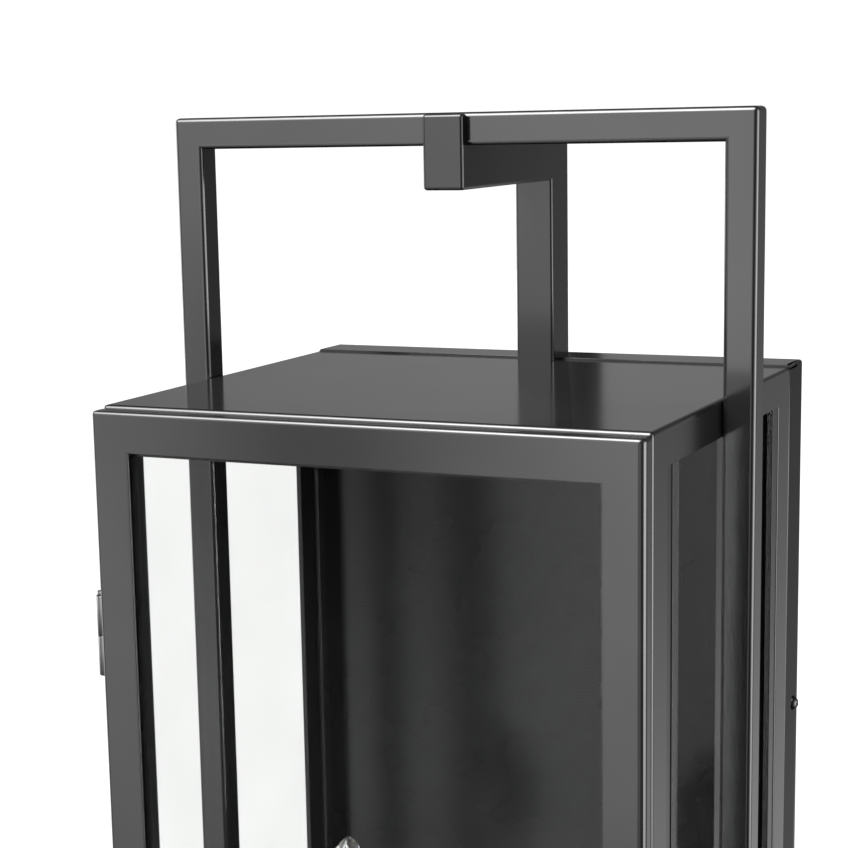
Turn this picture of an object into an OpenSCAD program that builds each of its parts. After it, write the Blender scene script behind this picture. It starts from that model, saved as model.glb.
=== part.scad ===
// Outdoor wall lantern: a tall glazed sheet-metal box with a hinged front door, a square-tube strap
// that runs up both sides and over the top, and a hook post that reaches forward from the backplate
// under the strap. The origin is on the wall plane at the centre of the wall fixing; the front
// faces -Y and +Z is up.

/* [Lantern box] */
// Width of the box across its side sheets
body_w = 220; // [180:1:260]
// Height of the box
body_h = 400; // [340:1:460]
// Depth of the box behind the door
body_d = 181; // [160:1:220]
// Height of the box top above the centre of the wall fixing
mount_drop = 148; // [120:1:180]
// Thickness of the folded side and rear sheets
sheet_t = 1.2; // [1:0.1:1.5]
// Thickness of the top and bottom plates
plate_t = 2; // [1.5:0.1:3]
// Width of the flange that frames the doorway
flange_w = 12; // [10:0.5:14]

/* [Backplate] */
// Depth of the backplate pan
pan_d = 20.4; // [18:0.2:30]
// How far the pan stands proud of the box on each side
pan_side = 0.1; // [0.1:0.1:2]
// How far the pan stands above and below the box
pan_rise = 0.8; // [0.5:0.1:3]
// Spacing of the two wall screws
wall_screw_pitch = 88.9; // [70:0.1:95]
// Width of the wall screw slots
wall_hole_d = 5; // [4.5:0.1:6]
// End-to-end length of the wall screw slots
wall_slot_len = 12; // [6:0.5:20]

/* [Door] */
// Thickness of the door
door_t = 7; // [6.5:0.1:10]
// Gap between the door and the box, which the hinge leaves fill
door_gap = 1.2; // [1.2:0.1:1.6]
// Width of the door's stiles and rails
door_rail = 15.8; // [14:0.1:22]
// How far the door stops short of the box at the top and the bottom
door_drop = 1.1; // [0.5:0.1:3]
// Thickness of every glass pane
glass_t = 3; // [2:0.5:3]

/* [Side windows] */
// Width of the front and rear stiles of a side sheet
side_stile = 16.4; // [14:0.1:20]
// Height of the top and bottom rails of a side sheet
side_rail = 14.4; // [14:0.1:20]
// How far a glass channel shows inside the window
channel_show = 8; // [6:0.1:12]

/* [Strap] */
// Side of the square strap tube
strap_tube = 12.7; // [11:0.1:16]
// Height of the strap above the box top
strap_rise = 107.3; // [90:0.1:130]
// Distance from the wall to the middle of the strap
strap_back = 113.4; // [90:0.1:130]
// Wall thickness of the strap and hook tubes
tube_wall = 1.5; // [1:0.1:2]

/* [Hook] */
// Width of the hook post and arm
hook_w = 17; // [14:0.5:22]
// Front-to-back depth of the hook post
post_d = 20; // [16:0.5:22]
// Distance from the wall to the middle of the post
post_back = 18.2; // [16:0.1:19]
// Height of the hook arm's tube
arm_h = 17; // [14:0.5:22]
// Thickness of the lip in front of the strap
lip_t = 4.5; // [3:0.1:8]
// How far the lip's top stays below the strap's top
lip_drop = 0.5; // [0.2:0.1:3]

/* [Hinges] */
// Length of a hinge
hinge_len = 32; // [26:1:40]
// Distance from the box's top or bottom to the middle of a hinge
hinge_inset = 91; // [60:1:120]
// Outer diameter of the hinge knuckles
knuckle_d = 5.6; // [5:0.1:7]
// Diameter of the hinge pins
pin_d = 3; // [2.5:0.1:3.5]

/* [Lamps] */
// Spacing of the two lamps
lamp_pitch = 105; // [80:1:110]
// Distance from the wall to the lamps
lamp_back = 115; // [95:1:125]
// Outer diameter of a candle sleeve
sleeve_d = 22; // [20:0.5:24]
// Height of a candle sleeve
sleeve_h = 102; // [70:1:110]
// Largest diameter of a bulb
bulb_d = 35; // [30:1:38]
// Length of a bulb's glass
bulb_glass_len = 76; // [60:1:80]

/* [Hidden] */
$fn = 48;
eps = 0.5;              // overrun of a cut past the face that it opens
coat = "#2c2d2f";       // black powder coat
zinc = "#a9acae";       // zinc-plated steel
brass = "#b8974f";
clear = [0.85, 0.92, 0.95, 0.35];

// Planes of the box
top_z = mount_drop;
bottom_z = top_z - body_h;
half_w = body_w / 2;
body_rear_y = -pan_d;
body_front_y = -pan_d - body_d;
door_rear_y = body_front_y - door_gap;
door_front_y = door_rear_y - door_t;
door_top_z = top_z - door_drop;
door_bottom_z = bottom_z + door_drop;
mid_z = (top_z + bottom_z) / 2;

// Pan and wall plate
pan_half = half_w + pan_side;
gasket_w = 6;
gasket_t = 1.5;
tab_x = pan_half - sheet_t - gasket_w - 1;   // outer face of the wall plate's side tabs
tab_h = 36;
tab_depth = 13;
wall_plate_h = 100;
side_screw_y = -7.3;
side_screw_d = 3.4;

// Glass
glass_x = half_w - 2 * sheet_t - glass_t;    // inner face of a side pane
glass_lap = 2;                               // how far a pane reaches behind a rail
window_front_y = body_front_y + side_stile;
window_rear_y = body_rear_y - side_stile;
channel_w = channel_show + 5.4;
door_open_x = half_w - door_rail;
door_glass_y = door_front_y + sheet_t;       // front face of the door pane
door_glass_lap = 5;

// Strap and hook
strap_y = -strap_back;
strap_top_z = top_z + strap_rise;
strap_under_z = strap_top_z - strap_tube;
leg_x = half_w + strap_tube / 2;
strap_screw_d = 4;
strap_screw_inset = 6.6;
cap_t = 1.5;
post_y = -post_back;
post_front_y = post_y - post_d / 2;
post_foot_z = top_z - 40;
lip_front_y = strap_y - strap_tube / 2 - lip_t;

// Hinges
hinge_x = -half_w - knuckle_d / 2 - 0.35;
hinge_y = body_front_y - door_gap / 2;
leaf_t = (door_gap - 0.2) / 2;
leaf_w = 14;
knuckle_gap = 0.3;
pin_clear = 0.05;
rivet_d = 3;
rivet_x = -half_w + 7;
upper_hinge_z = top_z - hinge_inset;
lower_hinge_z = bottom_z + hinge_inset;

// Catch
catch_h = 40;
catch_x = half_w - 1.2 - 10;                 // inner side of the catch block
knob_d = 12;
knob_x = half_w - door_rail / 2;

// Lamps
lamp_y = -lamp_back;
bracket_w = lamp_pitch + 40;
bracket_d = 24;
bracket_h = 24;
bracket_top_z = bottom_z + plate_t + bracket_h;
nipple_d = 10;
cup_h = 8;
cup_floor = 2;
sleeve_z = bracket_top_z + cup_floor;
sleeve_top_z = sleeve_z + sleeve_h;
socket_d = 17;
socket_h = 46;
socket_z = sleeve_top_z - socket_h - 3;
cap_d = 11.8;                                // bulb screw shell
cap_h = 21;
bulb_z = socket_z + socket_h + 2;            // bottom of the bulb's glass
bulb_wall = 0.8;
wire_d = 2.2;
wire_hole_d = 14;
wire_hole_z = bottom_z + 30;

// A box given by its lowest and highest corners
module span(lo, hi) {
    translate(lo) cube(hi - lo);
}

// A cylinder from a point along +X, -X, +Y, -Y, +Z or -Z, given as a unit direction
module rod(at, dir, len, d) {
    turn = dir[2] > 0 ? [0, 0, 0] : dir[2] < 0 ? [180, 0, 0]
        : dir[0] != 0 ? [0, 90 * dir[0], 0] : [-90 * dir[1], 0, 0];
    translate(at) rotate(turn) cylinder(d = d, h = len);
}

// A pan-head cross-recess screw; the head's underside is at the origin and the shank points to -Z
module screw(shank_d, len, head_d, head_h) {
    recess = head_d * 0.5;
    blade = head_d * 0.13;
    ball = (head_d * head_d / 4 + head_h * head_h) / (2 * head_h);
    difference() {
        union() {
            intersection() {
                cylinder(d = head_d, h = head_h);
                translate([0, 0, head_h - ball]) sphere(r = ball);
            }
            translate([0, 0, -len]) cylinder(d = shank_d, h = len);
        }
        for (a = [0, 90]) rotate(a)
            span([-recess / 2, -blade / 2, head_h * 0.45], [recess / 2, blade / 2, head_h + eps]);
    }
}

// A screw at a point whose shank points along a unit direction
module screw_at(at, dir, shank_d, len, head_d, head_h) {
    turn = dir[2] < 0 ? [0, 0, 0] : dir[2] > 0 ? [180, 0, 0]
        : dir[0] != 0 ? [0, -90 * dir[0], 0] : [90 * dir[1], 0, 0];
    translate(at) rotate(turn) screw(shank_d, len, head_d, head_h);
}

// The space that the hook post passes through
module post_slot() {
    span([-hook_w / 2, post_front_y, post_foot_z],
        [hook_w / 2, post_y + post_d / 2, top_z + pan_rise + eps]);
}

// Both sides of the symmetric lantern
module both_sides() {
    children();
    mirror([1, 0, 0]) children();
}

// ---- Wall side ----

module wall_slot(x) {
    run = (wall_slot_len - wall_hole_d) / 2;
    for (s = [-1, 1])
        rod([x + s * run, eps, 0], [0, -1, 0], plate_t + 2 * eps, wall_hole_d);
    span([x - run, -plate_t - eps, -wall_hole_d / 2], [x + run, eps, wall_hole_d / 2]);
}

module mounting_plate() {
    plate_x = tab_x;
    corner_x = tab_x - 12;
    corner_z = wall_plate_h / 2 - 10;
    color(zinc) difference() {
        union() {
            span([-plate_x, -plate_t, -wall_plate_h / 2], [plate_x, 0, wall_plate_h / 2]);
            both_sides() span([tab_x - plate_t, -tab_depth, -tab_h / 2], [tab_x, 0, tab_h / 2]);
        }
        for (s = [-1, 1]) {
            wall_slot(s * wall_screw_pitch / 2);
            rod([s * (tab_x + eps), side_screw_y, 0], [-s, 0, 0], plate_t + 2 * eps, side_screw_d);
            for (t = [-1, 1])
                rod([s * corner_x, eps, t * corner_z], [0, -1, 0], plate_t + 2 * eps, wall_hole_d);
        }
        rod([0, eps, 0], [0, -1, 0], plate_t + 2 * eps, 32);
        rod([0, eps, -34], [0, -1, 0], plate_t + 2 * eps, 4.1);
    }
}

module ground_screw() {
    color("#3f8f4f") difference() {
        union() {
            rod([0, -plate_t, -34], [0, -1, 0], 1, 9);
            rod([0, -plate_t - 1, -34], [0, -1, 0], 2.6, 7);
            rod([0, 0, -34], [0, -1, 0], plate_t + 1, 4);
        }
        span([-2.6, -plate_t - 3.6 - eps, -34.5], [2.6, -plate_t - 2.4, -33.5]);
    }
}

module backplate() {
    inner = pan_half - sheet_t;
    color(coat) difference() {
        span([-pan_half, -pan_d, bottom_z - pan_rise], [pan_half, 0, top_z + pan_rise]);
        span([-inner, -pan_d + sheet_t, bottom_z - pan_rise + sheet_t],
            [inner, eps, top_z + pan_rise - sheet_t]);
        post_slot();
        for (s = [-1, 1])
            rod([s * (pan_half + eps), side_screw_y, 0], [-s, 0, 0], sheet_t + 2 * eps, 3.8);
        rod([0, eps, wire_hole_z], [0, -1, 0], pan_d + 2 * eps, wire_hole_d);
        back_screw_holes();
    }
}

module pan_gasket() {
    x = pan_half - sheet_t;
    top = top_z + pan_rise - sheet_t;
    low = bottom_z - pan_rise + sheet_t;
    color("#1b1b1b") difference() {
        span([-x, -gasket_t, low], [x, 0, top]);
        span([-x + gasket_w, -gasket_t - eps, low + gasket_w], [x - gasket_w, eps, top - gasket_w]);
    }
}

module side_screws() {
    color("#3a3b3d") for (s = [-1, 1])
        screw_at([s * pan_half, side_screw_y, 0], [-s, 0, 0], side_screw_d, 12, 6.4, 2.4);
}

// ---- Box ----

back_screw_x = 92;
back_screw_z = 175;

// The holes through the pan and the rear panel for the screws that join them
module back_screw_holes() {
    for (s = [-1, 1], t = [-1, 1])
        rod([s * back_screw_x, -pan_d + sheet_t + eps, mid_z + t * back_screw_z], [0, -1, 0],
            2 * sheet_t + 2 * eps, 3.5);
}

module rear_panel() {
    x = half_w - sheet_t;
    color(coat) difference() {
        span([-x, body_rear_y - sheet_t, bottom_z + plate_t], [x, body_rear_y, top_z - plate_t]);
        post_slot();
        back_screw_holes();
        rod([0, body_rear_y + eps, wire_hole_z], [0, -1, 0], sheet_t + 2 * eps, wire_hole_d);
    }
}

liner_half = 99;
liner_d = 4;
liner_gap = 8;

module inner_back_panel() {
    front = body_rear_y - sheet_t - liner_d;
    rear = body_rear_y - sheet_t;
    top = top_z - plate_t - 6;
    low = bottom_z + plate_t + liner_gap;
    t = 1;
    color("#3a3b3d") difference() {
        span([-liner_half, front, low], [liner_half, rear, top]);
        span([-liner_half + t, front + t, low + t], [liner_half - t, rear + eps, top - t]);
        span([-11, front - eps, low - eps], [11, rear + eps, wire_hole_z + 12]);
        span([-hook_w / 2 - 1, front - eps, post_foot_z - 1],
            [hook_w / 2 + 1, rear + eps, top + eps]);
    }
}

module back_panel_screws() {
    color(zinc) for (s = [-1, 1], t = [-1, 1])
        screw_at([s * back_screw_x, body_rear_y + sheet_t, mid_z + t * back_screw_z],
            [0, -1, 0], 3.4, 2 * sheet_t + 1.6, 6, 1.8);
}

// The right-hand side sheet; the left one is its mirror image
module side_sheet() {
    color(coat) difference() {
        union() {
            span([half_w - sheet_t, body_front_y, bottom_z + plate_t],
                [half_w, body_rear_y, top_z - plate_t]);
            span([half_w - flange_w, body_front_y, bottom_z + plate_t],
                [half_w - sheet_t, body_front_y + sheet_t, top_z - plate_t]);
        }
        span([half_w - sheet_t - eps, window_front_y, bottom_z + side_rail],
            [half_w + eps, window_rear_y, top_z - side_rail]);
        for (z = [top_z - strap_screw_inset, bottom_z + strap_screw_inset])
            rod([half_w - sheet_t - eps, strap_y, z], [1, 0, 0], sheet_t + 2 * eps, strap_screw_d + 0.2);
    }
}

module left_side_frame() {
    hole_d = rivet_d;
    difference() {
        mirror([1, 0, 0]) side_sheet();
        for (z = [upper_hinge_z, lower_hinge_z], t = [-1, 1])
            rod([rivet_x, body_front_y - eps, z + t * hinge_len / 4], [0, 1, 0],
                sheet_t + 2 * eps, hole_d);
    }
}

module right_side_frame() {
    difference() {
        side_sheet();
        span([catch_x + 2, body_front_y - eps, mid_z - catch_h / 2 + 6],
            [catch_x + 8, body_front_y + sheet_t + eps, mid_z + catch_h / 2 - 6]);
    }
}

// The top or bottom plate, drawn as the top one with its upper face at z = 0
module cover_plate() {
    span([-half_w, body_front_y, -plate_t], [half_w, body_rear_y, 0]);
    span([-half_w + flange_w, body_front_y, -flange_w],
        [half_w - flange_w, body_front_y + sheet_t, -plate_t]);
}

module top_plate() {
    color(coat) difference() {
        translate([0, 0, top_z]) cover_plate();
        post_slot();
    }
}

module bottom_plate() {
    drain_x = 95;
    color(coat) difference() {
        translate([0, 0, bottom_z]) mirror([0, 0, 1]) cover_plate();
        for (s = [-1, 1], y = [body_front_y + 15, body_rear_y - 15])
            rod([s * drain_x, y, bottom_z - eps], [0, 0, 1], plate_t + 2 * eps, 4);
        for (s = [-1, 1])
            rod([s * 15, lamp_y, bottom_z - eps], [0, 0, 1], plate_t + 2 * eps, 4.1);
    }
}

// ---- Side glazing, drawn on the right ----

module side_pane() {
    color(clear)
        span([glass_x, window_front_y - 3, bottom_z + side_rail - glass_lap],
            [glass_x + glass_t, window_rear_y + 3, top_z - side_rail + glass_lap]);
}

// One vertical channel that holds the pane's edge; it opens towards +Y
module glass_channel() {
    web = 1;
    y0 = window_front_y - 5.4;
    z0 = bottom_z + side_rail - glass_lap;
    z1 = top_z - side_rail + glass_lap;
    span([glass_x + glass_t, y0, z0], [half_w - sheet_t, y0 + channel_w, z1]);
    span([glass_x - web, y0, z0], [glass_x, y0 + channel_w, z1]);
    span([glass_x, y0, z0], [glass_x + glass_t, y0 + web, z1]);
    span([half_w - sheet_t, window_front_y, bottom_z + side_rail],
        [half_w - sheet_t / 2, window_front_y + channel_show * 0.55, top_z - side_rail]);
}

module side_channels() {
    mid_y = (window_front_y + window_rear_y) / 2;
    color(coat) {
        glass_channel();
        translate([0, mid_y, 0]) mirror([0, 1, 0]) translate([0, -mid_y, 0]) glass_channel();
    }
}

module right_glass() { side_pane(); }
module left_glass() { mirror([1, 0, 0]) side_pane(); }
module right_glass_channels() { side_channels(); }
module left_glass_channels() { mirror([1, 0, 0]) side_channels(); }

// ---- Strap and hook ----

module strap() {
    x = half_w + strap_tube;
    y0 = strap_y - strap_tube / 2;
    y1 = strap_y + strap_tube / 2;
    color(coat) difference() {
        span([-x, y0, bottom_z + cap_t], [x, y1, strap_top_z]);
        span([-half_w, y0 - eps, bottom_z], [half_w, y1 + eps, strap_under_z]);
        both_sides() span([half_w + tube_wall, y0 + tube_wall, bottom_z],
            [x - tube_wall, y1 - tube_wall, strap_top_z - tube_wall]);
        span([-half_w - tube_wall, y0 + tube_wall, strap_under_z + tube_wall],
            [half_w + tube_wall, y1 - tube_wall, strap_top_z - tube_wall]);
        for (s = [-1, 1], z = [top_z - strap_screw_inset, bottom_z + strap_screw_inset])
            rod([s * (half_w - eps), strap_y, z], [s, 0, 0], tube_wall + 2 * eps, strap_screw_d);
    }
}

module strap_end_caps() {
    plug = strap_tube - 2 * tube_wall;
    color("#1f2021") both_sides() {
        span([half_w, strap_y - strap_tube / 2, bottom_z],
            [half_w + strap_tube, strap_y + strap_tube / 2, bottom_z + cap_t]);
        span([leg_x - plug / 2, strap_y - plug / 2, bottom_z + cap_t],
            [leg_x + plug / 2, strap_y + plug / 2, bottom_z + cap_t + 2]);
    }
}

module strap_screws() {
    color(zinc) for (s = [-1, 1], z = [top_z - strap_screw_inset, bottom_z + strap_screw_inset])
        screw_at([s * (half_w - sheet_t), strap_y, z], [s, 0, 0], strap_screw_d, 7, 6.4, 2.2);
}

module hook_post() {
    x = hook_w / 2;
    y0 = post_front_y;
    y1 = post_y + post_d / 2;
    color(coat) difference() {
        span([-x, y0, post_foot_z], [x, y1, strap_under_z]);
        span([-x + tube_wall, y0 + tube_wall, post_foot_z - eps],
            [x - tube_wall, y1 - tube_wall, strap_under_z - tube_wall]);
    }
}

module hook_arm() {
    x = hook_w / 2;
    low = strap_under_z - arm_h;
    lip_rear_y = lip_front_y + lip_t;
    color(coat) {
        difference() {
            span([-x, lip_rear_y, low], [x, post_front_y, strap_under_z]);
            span([-x + tube_wall, lip_rear_y + tube_wall, low + tube_wall],
                [x - tube_wall, post_front_y + eps, strap_under_z - tube_wall]);
        }
        span([-x, lip_front_y, low], [x, lip_rear_y, strap_top_z - lip_drop]);
    }
}

// ---- Door ----

module door_frame() {
    inner_x = half_w - sheet_t;
    boss = door_t - sheet_t - back_frame_t;
    color(coat) difference() {
        union() {
            difference() {
                span([-half_w, door_front_y, door_bottom_z], [half_w, door_rear_y, door_top_z]);
                span([-inner_x, door_front_y + sheet_t, door_bottom_z + sheet_t],
                    [inner_x, door_rear_y + eps, door_top_z - sheet_t]);
            }
            door_screw_places() rod([0, -back_frame_t, 0], [0, -1, 0], boss + sheet_t / 2, 4.8);
        }
        door_screw_places() rod([0, eps, 0], [0, -1, 0], 4.8 + eps, 2.5);
        span([-door_open_x, door_front_y - eps, door_bottom_z + door_rail],
            [door_open_x, door_front_y + sheet_t + eps, door_top_z - door_rail]);
        rod([knob_x, door_front_y - eps, mid_z], [0, 1, 0], sheet_t + 2 * eps, 4.2);
    }
}

module door_glass() {
    x = door_open_x + door_glass_lap;
    color(clear) span([-x, door_glass_y, door_bottom_z + door_rail - door_glass_lap],
        [x, door_glass_y + glass_t, door_top_z - door_rail + door_glass_lap]);
}

back_frame_t = 1.2;
back_lip = 1.6;         // how far the back frame shows inside the door's opening

module door_back_frame() {
    x = half_w - sheet_t - 0.2;
    z0 = door_bottom_z + sheet_t + 0.2;
    z1 = door_top_z - sheet_t - 0.2;
    open_x = door_open_x - back_lip;
    open_z = door_rail + back_lip;
    rear = door_rear_y;
    lip_y = door_glass_y + glass_t;
    color(coat) difference() {
        union() {
            span([-x, rear - back_frame_t, z0], [x, rear, z1]);
            span([-open_x - back_frame_t, lip_y, door_bottom_z + open_z - back_frame_t],
                [open_x + back_frame_t, rear, door_top_z - open_z + back_frame_t]);
        }
        span([-open_x, lip_y - eps, door_bottom_z + open_z], [open_x, rear + eps, door_top_z - open_z]);
        door_screw_places() rod([0, -back_frame_t - eps, 0], [0, 1, 0], back_frame_t + 2 * eps, 2.5);
        for (z = [upper_hinge_z, lower_hinge_z], t = [-1, 1])
            rod([rivet_x, rear - back_frame_t - eps, z + t * hinge_len / 4], [0, 1, 0],
                back_frame_t + 2 * eps, rivet_d);
        rod([knob_x, rear - back_frame_t - eps, mid_z], [0, 1, 0], back_frame_t + 2 * eps, 4.2);
    }
}

// Puts its children at each screw of the back frame, on the door's rear face
module door_screw_places() {
    x = half_w - 4;
    for (s = [-1, 1], z = [-135, 40, 135])
        translate([s * x, door_rear_y, mid_z + z]) children();
}

module door_frame_screws() {
    color(zinc) door_screw_places() {
        rod([0, -3.4, 0], [0, 1, 0], 3.4, 2.5);
        difference() {
            rod([0, 0, 0], [0, 1, 0], 0.7, 4.4);
            span([-1.5, 0.4, -0.3], [1.5, 0.7 + eps, 0.3]);
        }
    }
}

module door_knob() {
    stem = 5;
    color(coat) {
        translate([knob_x, door_front_y, mid_z]) rotate([90, 0, 0]) rotate_extrude()
            polygon([[0, 0], [4.5, 0], [4.5, 1], [2.6, 2], [2.6, stem], [knob_d / 2, stem + 2],
                [knob_d / 2, stem + 5], [knob_d / 2 - 1.4, stem + 6.6], [0, stem + 7]]);
        rod([knob_x, door_front_y, mid_z], [0, 1, 0], door_t - 0.2, 4);
    }
}

module strike_plate() {
    color(zinc) span([catch_x + 1, door_rear_y, mid_z - 11], [catch_x + 9, door_rear_y + 0.6, mid_z + 11]);
}

module magnet_catch() {
    y0 = body_front_y + sheet_t;
    color("#26272a") difference() {
        span([catch_x, y0, mid_z - catch_h / 2], [half_w - sheet_t, y0 + 9, mid_z + catch_h / 2]);
        span([catch_x + 2.2, y0 - eps, mid_z - catch_h / 2 + 6.2],
            [catch_x + 7.8, y0 + 7, mid_z + catch_h / 2 - 6.2]);
    }
}

module magnet() {
    color("#6f7478") span([catch_x + 2.2, body_front_y, mid_z - catch_h / 2 + 6.2],
        [catch_x + 7.8, body_front_y + sheet_t + 7, mid_z + catch_h / 2 - 6.2]);
}

// ---- Hinges: the lower knuckle is on the body leaf and the upper one on the door leaf ----

module hinge_knuckle(z0, z1, bore) {
    difference() {
        translate([hinge_x, hinge_y, z0]) cylinder(d = knuckle_d, h = z1 - z0);
        translate([hinge_x, hinge_y, z0 - eps]) cylinder(d = bore, h = z1 - z0 + 2 * eps);
    }
}

module leaf_holes(mid) {
    for (t = [-1, 1])
        rod([rivet_x, hinge_y - 3, mid + t * hinge_len / 4], [0, 1, 0], 6, rivet_d);
}

module hinge_body_leaf(mid) {
    z0 = mid - hinge_len / 2;
    color(coat) {
        hinge_knuckle(z0, mid - knuckle_gap / 2, pin_d);
        difference() {
            union() {
                span([hinge_x + 1.9, body_front_y - leaf_t, z0],
                    [-half_w + leaf_w, body_front_y, mid - knuckle_gap / 2]);
                span([-half_w + 0.6, body_front_y - leaf_t, z0],
                    [-half_w + leaf_w, body_front_y, z0 + hinge_len]);
            }
            leaf_holes(mid);
        }
    }
}

module hinge_door_leaf(mid) {
    z1 = mid + hinge_len / 2;
    color(coat) {
        hinge_knuckle(mid + knuckle_gap / 2, z1, pin_d + 2 * pin_clear);
        difference() {
            union() {
                span([hinge_x + 1.9, door_rear_y, mid + knuckle_gap / 2],
                    [-half_w + leaf_w, door_rear_y + leaf_t, z1]);
                span([-half_w + 0.6, door_rear_y, z1 - hinge_len],
                    [-half_w + leaf_w, door_rear_y + leaf_t, z1]);
            }
            leaf_holes(mid);
        }
    }
}

module hinge_pin(mid) {
    head_h = 1.4;
    top = mid + hinge_len / 2 + 0.3;
    color("#3a3b3d") translate([hinge_x, hinge_y, 0]) {
        translate([0, 0, mid - hinge_len / 2]) cylinder(d = pin_d, h = top - mid + hinge_len / 2);
        translate([0, 0, top]) cylinder(d = pin_d + 1.6, h = head_h);
    }
}

module upper_hinge_body_leaf() { hinge_body_leaf(upper_hinge_z); }
module upper_hinge_door_leaf() { hinge_door_leaf(upper_hinge_z); }
module upper_hinge_pin() { hinge_pin(upper_hinge_z); }
module lower_hinge_body_leaf() { hinge_body_leaf(lower_hinge_z); }
module lower_hinge_door_leaf() { hinge_door_leaf(lower_hinge_z); }
module lower_hinge_pin() { hinge_pin(lower_hinge_z); }

module hinge_body_rivets() {
    color(zinc) for (mid = [upper_hinge_z, lower_hinge_z], t = [-1, 1]) {
        z = mid + t * hinge_len / 4;
        rod([rivet_x, body_front_y - leaf_t, z], [0, 1, 0], leaf_t + sheet_t + 0.2, rivet_d);
        rod([rivet_x, body_front_y + sheet_t, z], [0, 1, 0], 1, 5);
    }
}

module hinge_door_rivets() {
    color(zinc) for (mid = [upper_hinge_z, lower_hinge_z], t = [-1, 1]) {
        z = mid + t * hinge_len / 4;
        rod([rivet_x, door_rear_y + leaf_t, z], [0, -1, 0], leaf_t + back_frame_t + 0.2, rivet_d);
        rod([rivet_x, door_rear_y - back_frame_t, z], [0, -1, 0], 1, 5);
    }
}

// ---- Lamps ----

module socket_bracket() {
    t = 1.5;
    low = bottom_z + plate_t;
    x = bracket_w / 2;
    y0 = lamp_y - bracket_d / 2;
    y1 = lamp_y + bracket_d / 2;
    color(coat) difference() {
        span([-x, y0, low], [x, y1, bracket_top_z]);
        span([-x + t, y0 + t, low + t], [x - t, y1 - t, bracket_top_z - t]);
        span([-x + t, y0 + t, low - eps], [-30, y1 - t, low + t + eps]);
        span([30, y0 + t, low - eps], [x - t, y1 - t, low + t + eps]);
        for (s = [-1, 1]) {
            rod([s * lamp_pitch / 2, lamp_y, bracket_top_z - t - eps], [0, 0, 1], t + 2 * eps, nipple_d);
            rod([s * 15, lamp_y, low - eps], [0, 0, 1], t + 2 * eps, 4.1);
        }
        rod([0, y1 - t - eps, low + 7], [0, 1, 0], t + 2 * eps, 7);
    }
}

module bracket_screws() {
    color(zinc) for (s = [-1, 1])
        screw_at([s * 15, lamp_y, bottom_z], [0, 0, 1], 4, plate_t + 1.5 + 3, 7, 2);
}

module candle_cups() {
    r = sleeve_d / 2;
    color(coat) for (s = [-1, 1]) translate([s * lamp_pitch / 2, lamp_y, bracket_top_z])
        rotate_extrude() polygon([[nipple_d / 2, 0], [r - 1, 0], [r + 5.5, cup_h - 0.8],
            [r + 5.5, cup_h], [r + 4.2, cup_h], [r + 0.4, cup_floor], [nipple_d / 2, cup_floor]]);
}

// A threaded nipple with a stem that carries the socket inside the sleeve
module socket_stems() {
    low = bracket_top_z - 8;
    color(zinc) for (s = [-1, 1]) translate([s * lamp_pitch / 2, lamp_y, low]) difference() {
        cylinder(d = nipple_d, h = socket_z - low);
        translate([0, 0, -eps]) cylinder(d = nipple_d - 3, h = socket_z - low + 2 * eps);
    }
}

module stem_nuts() {
    nut_h = 3;
    color(zinc) for (s = [-1, 1], z = [bracket_top_z - 1.5 - nut_h, bracket_top_z + cup_floor])
        translate([s * lamp_pitch / 2, lamp_y, z]) difference() {
            cylinder(d = 15, h = nut_h, $fn = 6);
            translate([0, 0, -eps]) cylinder(d = nipple_d, h = nut_h + 2 * eps);
        }
}

module candle_sleeve(x) {
    color(coat) translate([x, lamp_y, sleeve_z]) difference() {
        cylinder(d = sleeve_d, h = sleeve_h);
        translate([0, 0, -eps]) cylinder(d = sleeve_d - 2.4, h = sleeve_h + 2 * eps);
    }
}

module left_candle_sleeve() { candle_sleeve(-lamp_pitch / 2); }
module right_candle_sleeve() { candle_sleeve(lamp_pitch / 2); }

// A candelabra socket: moulded body with a threaded well
module lamp_socket(x) {
    color("#222222") translate([x, lamp_y, socket_z]) difference() {
        union() {
            cylinder(d = socket_d, h = socket_h);
            translate([0, 0, socket_h - 4]) cylinder(d = socket_d + 1.6, h = 2);
        }
        translate([0, 0, socket_h - cap_h + 2]) cylinder(d = cap_d + 0.4, h = cap_h - 2 + eps);
        translate([0, 0, -eps]) cylinder(d = nipple_d - 3, h = 10 + eps);
    }
}

module left_socket() { lamp_socket(-lamp_pitch / 2); }
module right_socket() { lamp_socket(lamp_pitch / 2); }

// Radius of the bulb's glass at a share u of its length, from neck to tip
bulb_neck = 6.4;
bulb_belly = 0.38;
function bulb_r(u) = u < bulb_belly
    ? bulb_neck + (bulb_d / 2 - bulb_neck) * pow(sin(90 * u / bulb_belly), 1.35)
    : bulb_d / 2 * pow(max(0, 1 - pow((u - bulb_belly) / (1 - bulb_belly), 2)), 0.72);
bulb_steps = 28;
bulb_outside = [for (i = [0:bulb_steps - 1]) let (u = 1 - pow(1 - i / bulb_steps, 1.25))
    [bulb_r(u), u * bulb_glass_len]];

module bulb_glass(x) {
    shell = [for (p = bulb_outside) [max(p[0] - bulb_wall, 0.1), p[1]]];
    tip = bulb_glass_len;
    color(clear) translate([x, lamp_y, bulb_z]) rotate_extrude()
        polygon(concat(bulb_outside, [[0, tip], [0, tip - bulb_wall - 0.6]],
            [for (i = [bulb_steps - 2:-1:0]) shell[i]]));
}

module left_bulb_glass() { bulb_glass(-lamp_pitch / 2); }
module right_bulb_glass() { bulb_glass(lamp_pitch / 2); }

module bulb_bases() {
    color(brass) for (s = [-1, 1]) translate([s * lamp_pitch / 2, lamp_y, bulb_z - cap_h]) {
        rotate_extrude() polygon([[0, 0], [2.4, 0], [4.6, 2.4], [cap_d / 2, 3], [cap_d / 2, cap_h - 2],
            [bulb_neck, cap_h], [0, cap_h]]);
    }
}

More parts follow.
